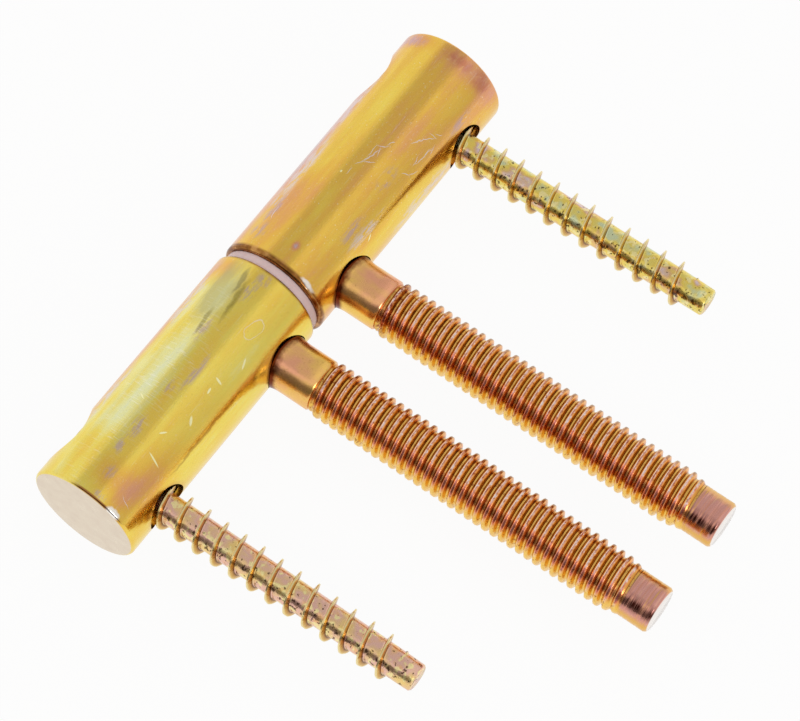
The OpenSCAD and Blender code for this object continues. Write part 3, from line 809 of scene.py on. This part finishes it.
# %% Barrels
EDGE_R = 0.5
BAR_COLUMNS, HOLE_COLUMNS = 160, 96
BAR_ROW = 0.5
# rings on the end face, which keep its faces short
FACE_RINGS = (2.5, 5)
DRILL_TIP = 1 / tan(radians(59))
# places along a leg: clear of the barrel on both sides, the stud's seat and the sunk mouth of the screw hole
CLEAR_BACK, CLEAR_FRONT = -45, -12
SEAT_END, SEAT_STEP, SINK_FLOOR, SINK_TIP = -25.45, -23.6, -35.4, -33.85
SEAT_R, SEAT_MOUTH_R, SINK_R, SINK_CONE_R, SCREW_HOLE_R = 3.75, 4.1, 5.25, 5.0, 3.45
# the pin is pressed into the lower barrel and runs with a little play in the upper one
PIN_R, PIN_DEPTH = 3.5, 23.05
RUN_R, RUN_DEPTH = 3.55, 24.0


def hole_tools(stud_leg, screw_leg):
    """The drills for one barrel: the stepped stud seat and the screw hole with its countersink."""
    drills = bmesh.new()
    turn(drills, [(SEAT_END, 0), (SEAT_END, SEAT_R), (SEAT_STEP, SEAT_R), (SEAT_STEP, SEAT_MOUTH_R),
                  (CLEAR_FRONT, SEAT_MOUTH_R), (CLEAR_FRONT, 0)], on_leg(stud_leg), HOLE_COLUMNS)
    turn(drills, [(CLEAR_BACK, 0), (CLEAR_BACK, SINK_R), (SINK_FLOOR, SINK_R), (SINK_FLOOR, SINK_CONE_R),
                  (SINK_TIP, SCREW_HOLE_R), (CLEAR_FRONT, SCREW_HOLE_R), (CLEAR_FRONT, 0)],
         on_leg(screw_leg), HOLE_COLUMNS)
    return to_object(drills, "drills", chromate_bar)


def make_barrel(name, end, face, bore_r, bore_depth, stud_leg, screw_leg):
    """Turns one barrel from its free end to its joint face and drills it."""
    inward = 1 if face > end else -1
    rows = int(abs(face - end) / BAR_ROW)
    first, last = end + inward * EDGE_R, face - inward * EDGE_R
    profile = [(end, radius) for radius in (0, *FACE_RINGS)]
    turn_from = 180 if inward > 0 else 0
    profile += round_edge(first, BARREL_R - EDGE_R, EDGE_R, turn_from, 90)
    profile += [(first + (last - first) * i / rows, BARREL_R) for i in range(1, rows)]
    profile += round_edge(last, BARREL_R - EDGE_R, EDGE_R, 90, 180 - turn_from)
    profile += [(face, bore_r), (face - inward * bore_depth, bore_r),
                (face - inward * (bore_depth + bore_r * DRILL_TIP), 0)]
    shape = bmesh.new()
    turn(shape, profile, on_hinge, BAR_COLUMNS)
    return carve(to_object(shape, name, chromate_bar), [hole_tools(stud_leg, screw_leg)], chromate_bar)


lower_bar = make_barrel("turned_lower_barrel", LOWER_END, LOWER_FACE, PIN_R, PIN_DEPTH,
                        "lower_stud", "lower_lock_screw")
hand_over(lower_bar, "lower_barrel", "lower_half")
upper_bar = make_barrel("turned_upper_barrel", UPPER_END, UPPER_FACE, RUN_R, RUN_DEPTH,
                        "upper_stud", "upper_lock_screw")
hand_over(upper_bar, "upper_barrel", "upper_half")

# %% [markdown]
# ## Threads by Geometry Nodes
#
# A thread follows a rule, so it is grown by a node tree and not drawn: a flat grid is rolled up into a tube,
# and each column is shifted along by its share of one pitch. Then every row runs along the helix, and a
# ridge that follows the rows is a clean thread however few facets there are. The ridge fades in and out, and
# a seeded noise wears its crest a little. Its height and the side of its flanks are kept as attributes, which
# the finishes use.

# %% Thread tree: inputs and a grid wound up along the helix
thread_tree = bpy.data.node_groups.new("rolled_thread", "GeometryNodeTree")
thread_tree.interface.new_socket("Geometry", in_out="OUTPUT", socket_type="NodeSocketGeometry")
socket_of = {}
for name, kind in (("Start", "Float"), ("Length", "Float"), ("Pitch", "Float"), ("Root Radius", "Float"),
                   ("Crest Radius", "Float"), ("Root Share", "Float"), ("Crest Share", "Float"),
                   ("Fade In", "Float"), ("Fade Out", "Float"), ("Wear", "Float"), ("Seed", "Float"),
                   ("Axis Y", "Float"), ("Axis Z", "Float"), ("Columns", "Int"), ("Rows", "Int"),
                   ("Finish", "Material")):
    made = thread_tree.interface.new_socket(name, in_out="INPUT", socket_type="NodeSocket" + kind)
    socket_of[name] = made.identifier
given = add(thread_tree, "NodeGroupInput").outputs
# turns to cover the length, and one more on each side because the columns are shifted
turns = add(thread_tree, MATH, {0: given["Length"], 1: given["Pitch"]}, operation="DIVIDE")
turns = add(thread_tree, MATH, {0: turns}, operation="CEIL")
turns = add(thread_tree, MATH, {0: turns, 1: 2.0}, operation="ADD")
columns = add(thread_tree, MATH, {0: given["Columns"], 1: 1.0}, operation="ADD")
rows = add(thread_tree, MATH, {0: turns, 1: given["Rows"], 2: 1.0}, operation="MULTIPLY_ADD")
grid = add(thread_tree, "GeometryNodeMeshGrid", {"Size X": 1.0, "Size Y": turns, "Vertices X": columns,
                                                 "Vertices Y": rows})
flat = add(thread_tree, "ShaderNodeSeparateXYZ", {0: add(thread_tree, "GeometryNodeInputPosition")})
around = add(thread_tree, MATH, {0: flat.outputs["X"], 1: 0.5}, operation="ADD")
wound = add(thread_tree, MATH, {0: turns, 1: 0.5, 2: flat.outputs["Y"]}, operation="MULTIPLY_ADD")
# place along the axis: every column starts a little later than the one before it
shifted = add(thread_tree, MATH, {0: wound, 1: around}, operation="ADD")
shifted = add(thread_tree, MATH, {0: shifted, 1: 1.0}, operation="SUBTRACT")
along = add(thread_tree, MATH, {0: shifted, 1: given["Pitch"]}, operation="MULTIPLY")
along = add(thread_tree, "ShaderNodeClamp", {"Value": along, "Min": 0.0, "Max": given["Length"]})
print(thread_tree.name, "takes", list(socket_of))

# %% Thread tree: the ridge, its wear and the finished tube
# the thread form: 0 in the root, 1 on the crest
wave = add(thread_tree, MATH, {0: wound, 1: 0.5}, operation="PINGPONG")
root_edge = add(thread_tree, MATH, {0: given["Root Share"], 1: 0.5}, operation="MULTIPLY")
crest_edge = add(thread_tree, MATH, {0: given["Crest Share"], 1: -0.5, 2: 0.5}, operation="MULTIPLY_ADD")
form = add(thread_tree, RANGE, {"Value": wave, "From Min": root_edge, "From Max": crest_edge},
           interpolation_type="SMOOTHSTEP")
rise = add(thread_tree, RANGE, {"Value": along, "From Min": 0.0, "From Max": given["Fade In"]})
left = add(thread_tree, MATH, {0: given["Length"], 1: along}, operation="SUBTRACT")
fall = add(thread_tree, RANGE, {"Value": left, "From Min": 0.0, "From Max": given["Fade Out"]})
ridge = add(thread_tree, MATH, {0: form, 1: rise}, operation="MULTIPLY")
ridge = add(thread_tree, MATH, {0: ridge, 1: fall}, operation="MULTIPLY")
# 1 on the flank that faces the tip, 0 on the one that faces the barrel
swing = add(thread_tree, MATH, {0: wound, 1: 2 * pi}, operation="MULTIPLY")
swing = add(thread_tree, MATH, {0: swing}, operation="SINE")
tipward = add(thread_tree, MATH, {0: swing, 1: -0.5, 2: 0.5}, operation="MULTIPLY_ADD")

angle = add(thread_tree, MATH, {0: around, 1: 2 * pi}, operation="MULTIPLY")
out_y = add(thread_tree, MATH, {0: angle}, operation="COSINE")
out_z = add(thread_tree, MATH, {0: angle}, operation="SINE")
spot_x = add(thread_tree, MATH, {0: along, 1: given["Start"]}, operation="ADD")
crest_y, crest_z = (add(thread_tree, MATH, {0: out, 1: given["Crest Radius"]}, operation="MULTIPLY")
                    for out in (out_y, out_z))
on_crest = add(thread_tree, "ShaderNodeCombineXYZ", {0: spot_x, 1: crest_y, 2: crest_z})
lumps = add(thread_tree, NOISE, {"Vector": on_crest, "W": given["Seed"], "Scale": per(2.2), "Detail": 3.0},
            noise_dimensions="4D")
worn = add(thread_tree, RANGE, {"Value": lumps.outputs["Fac"], "From Min": 0.35, "From Max": 0.7,
                                "To Min": 0.0, "To Max": given["Wear"]})
worn = add(thread_tree, MATH, {0: worn, 1: ridge}, operation="MULTIPLY")
radius = add(thread_tree, RANGE, {"Value": ridge, "To Min": given["Root Radius"],
                                  "To Max": given["Crest Radius"]})
radius = add(thread_tree, MATH, {0: radius, 1: worn}, operation="SUBTRACT")
spot_y = add(thread_tree, MATH, {0: out_y, 1: radius, 2: given["Axis Y"]}, operation="MULTIPLY_ADD")
spot_z = add(thread_tree, MATH, {0: out_z, 1: radius, 2: given["Axis Z"]}, operation="MULTIPLY_ADD")
rolled = add(thread_tree, "ShaderNodeCombineXYZ", {0: spot_x, 1: spot_y, 2: spot_z})
tube = grid.outputs["Mesh"]
for name, value in (("ridge", form), ("tipward", tipward)):
    tube = add(thread_tree, "GeometryNodeStoreNamedAttribute", {"Geometry": tube, "Name": name, "Value": value})
tube = add(thread_tree, "GeometryNodeSetPosition", {"Geometry": tube, "Position": rolled})
tube = add(thread_tree, "GeometryNodeMergeByDistance", {"Geometry": tube, "Distance": 1e-6})
tube = add(thread_tree, "GeometryNodeRealizeInstances", {"Geometry": tube})
tube = add(thread_tree, "GeometryNodeSetMaterial", {"Geometry": tube, "Material": given["Finish"]})
add(thread_tree, "NodeGroupOutput", {0: tube})
print(thread_tree.name, len(thread_tree.nodes), "nodes")

# %% Grow a thread between two turned ends
# edges sharper than this many degrees stay crisp on a threaded piece
THREAD_SHARP = 50


def threaded(name, leg, finish, ends, sizes, columns, rows):
    """A leg as one closed mesh: two turned ends and the thread that the node tree grows between them."""
    carrier = bpy.data.objects.new("thread", bpy.data.meshes.new("thread"))
    bpy.context.scene.collection.objects.link(carrier)
    grow = carrier.modifiers.new("rolled_thread", "NODES")
    grow.node_group = thread_tree
    for key, value in sizes.items():
        grow[socket_of[key]] = value if "Share" in key else value * MM
    grow[socket_of["Seed"]] = leg_y[leg]
    grow[socket_of["Axis Y"]], grow[socket_of["Axis Z"]] = leg_y[leg] * MM, AXIS_Z * MM
    grow[socket_of["Columns"]], grow[socket_of["Rows"]] = columns, rows
    grow[socket_of["Finish"]] = finish
    bpy.context.view_layer.update()
    grown = bpy.data.meshes.new_from_object(carrier.evaluated_get(bpy.context.evaluated_depsgraph_get()))
    carrier.modifiers.clear()
    bpy.data.objects.remove(carrier)
    shape = bmesh.new()
    shape.from_mesh(grown)
    for profile in ends:
        turn(shape, profile, on_leg(leg), columns)
    return to_object(shape, name, finish, THREAD_SHARP)


# %% [markdown]
# ## The studs
#
# A stud is 8 mm rod with a rolled thread that runs out over two turns. Its plain neck sits in the barrel and
# flares where it was pressed against the seat, and its thinner point keeps the faint rings of the turning tool.

# %% Studs
STUD = {"Start": THREAD_START, "Length": THREAD_END - THREAD_START, "Pitch": 1.35, "Root Radius": 3.325,
        "Crest Radius": 4.0, "Root Share": 0.12, "Crest Share": 0.2, "Fade In": 0.7, "Fade Out": 2.7,
        "Wear": 0.05}
STUD_COLUMNS, STUD_ROWS = 64, 18
NECK_R, NECK_END_R, FLARE_R, POINT_R = 3.75, 3.5, 4.05, 3.35
# places along the stud and radii there
neck = [(SEAT_END, 0), (SEAT_END, NECK_R), (-22.6, NECK_R), (-22.1, FLARE_R), (-21.7, FLARE_R - 0.12),
        (-21.2, NECK_R + 0.07), (-20.5, NECK_R), (-18.3, NECK_R), (-16.1, NECK_R), (THREAD_START, NECK_END_R),
        (THREAD_START, STUD["Root Radius"])]
RING_HALF, RING_DEPTH = 0.12, 0.05
point = [(THREAD_END, STUD["Root Radius"]), (THREAD_END, POINT_R)]
for ring_x in (34.0, 34.7, 36.1):
    point += [(ring_x - RING_HALF, POINT_R), (ring_x, POINT_R - RING_DEPTH), (ring_x + RING_HALF, POINT_R)]
point += [(POINT_END - 0.4, POINT_R), (POINT_END - 0.12, POINT_R - 0.18), (POINT_END, POINT_R - 0.4),
          (POINT_END, 0)]
for half, body in (("lower", "lower_half"), ("upper", "upper_half")):
    stud = threaded(f"rolled_{half}_stud", f"{half}_stud", chromate_thread, (neck, point), STUD,
                    STUD_COLUMNS, STUD_ROWS)
    hand_over(stud, f"{half}_stud", body)

# %% [markdown]
# ## The wood screws
#
# A wood screw has a thin blade on a round core, so that it cuts into the wood, and this one ends flat. Its
# sunk head is at the back of the barrel. The cross recess in it is two tapered slots, cut one after the other.

# %% Wood screws
SCREW = {"Start": SCREW_START, "Length": SCREW_END - SCREW_START, "Pitch": 2.9, "Root Radius": 2.0,
         "Crest Radius": 3.0, "Root Share": 0.76, "Crest Share": 0.06, "Fade In": 1.5, "Fade Out": 1.5,
         "Wear": 0.16}
SCREW_COLUMNS, SCREW_ROWS = 56, 28
HEAD_TOP, HEAD_R, SHANK_R, SHANK_END = -35.9, 5.0, 2.2, -30.1
HEAD_EDGE, HEAD_RIM, HEAD_RING = 0.12, 0.5, 3.2
head = [(HEAD_TOP, 0), (HEAD_TOP, HEAD_RING), (HEAD_TOP, HEAD_R - HEAD_EDGE), (HEAD_TOP + HEAD_EDGE, HEAD_R),
        (HEAD_TOP + HEAD_RIM, HEAD_R), (HEAD_TOP + HEAD_RIM + HEAD_R - SHANK_R, SHANK_R),
        (SHANK_END, SHANK_R), (SCREW["Start"], SCREW["Root Radius"])]
TIP_END, TIP_R, TIP_EDGE = SCREW_END + 2.7, 1.96, 0.2
tip = [(SCREW_END, SCREW["Root Radius"]), (TIP_END - TIP_EDGE, TIP_R), (TIP_END, TIP_R - TIP_EDGE),
       (TIP_END, 0)]
SLOT_SPAN, SLOT_WIDTH, SLOT_DEPTH, SLOT_TAPER = 5.4, 1.4, 2.3, 0.8
# the slots start a little above the head, so that no skin is left over them
SLOT_START = -0.01


def slot_tools(leg):
    """The two tapered slots of a cross recess."""
    slots = []
    for upright in (False, True):
        slot = bmesh.new()
        for corner in bmesh.ops.create_cube(slot, size=2.0)["verts"]:
            deep = corner.co.x > 0
            wide = (SLOT_WIDTH if deep else SLOT_SPAN) / 2 * corner.co.y
            thick = SLOT_WIDTH / 2 * corner.co.z * (SLOT_TAPER if deep else 1.0)
            out, up = (thick, wide) if upright else (wide, thick)
            corner.co = on_leg(leg)(HEAD_TOP + (SLOT_DEPTH if deep else SLOT_START), out, up) * MM
        slots.append(to_object(slot, "slot", chromate_screw))
    return slots


for half, body in (("lower", "lower_half"), ("upper", "upper_half")):
    leg = f"{half}_lock_screw"
    screw = threaded(f"cut_{half}_screw", leg, chromate_screw, (head, tip), SCREW, SCREW_COLUMNS, SCREW_ROWS)
    screw = carve(screw, slot_tools(leg), chromate_screw, THREAD_SHARP)
    hand_over(screw, leg, body)

# %% [markdown]
# ## The washer and the pin
#
# The washer keeps steel from rubbing on steel, and the pin shows only when the upper half is lifted off. Both
# are plain turned shapes with small broken edges.

# %% Washer and pin
washer_low, washer_high = box_mm("bearing_washer")
washer_r = (washer_high.x - washer_low.x) / 2
WASHER_BORE_R, WASHER_EDGE, WASHER_STEPS = 3.7, 0.2, 4
WASHER_COLUMNS, PIN_COLUMNS = 128, 96
shape = bmesh.new()
rim = round_edge(LOWER_FACE + WASHER_EDGE, washer_r - WASHER_EDGE, WASHER_EDGE, 180, 90, WASHER_STEPS)
rim += round_edge(UPPER_FACE - WASHER_EDGE, washer_r - WASHER_EDGE, WASHER_EDGE, 90, 0, WASHER_STEPS)
turn(shape, [(LOWER_FACE, WASHER_BORE_R), *rim, (UPPER_FACE, WASHER_BORE_R), (LOWER_FACE, WASHER_BORE_R)],
     on_hinge, WASHER_COLUMNS)
washer = to_object(shape, "moulded_washer", natural_nylon)
hand_over(washer, "bearing_washer", "washer")
pin_low, pin_high = box_mm("hinge_pin")
PIN_EDGE = 0.7
shape = bmesh.new()
turn(shape, [(pin_low.y, 0), (pin_low.y, PIN_R - PIN_EDGE), (pin_low.y + PIN_EDGE, PIN_R),
             (pin_high.y - PIN_EDGE, PIN_R), (pin_high.y, PIN_R - PIN_EDGE), (pin_high.y, 0)],
     on_hinge, PIN_COLUMNS)
pin = to_object(shape, "ground_pin", ground_steel)
hand_over(pin, "hinge_pin", "lower_half")
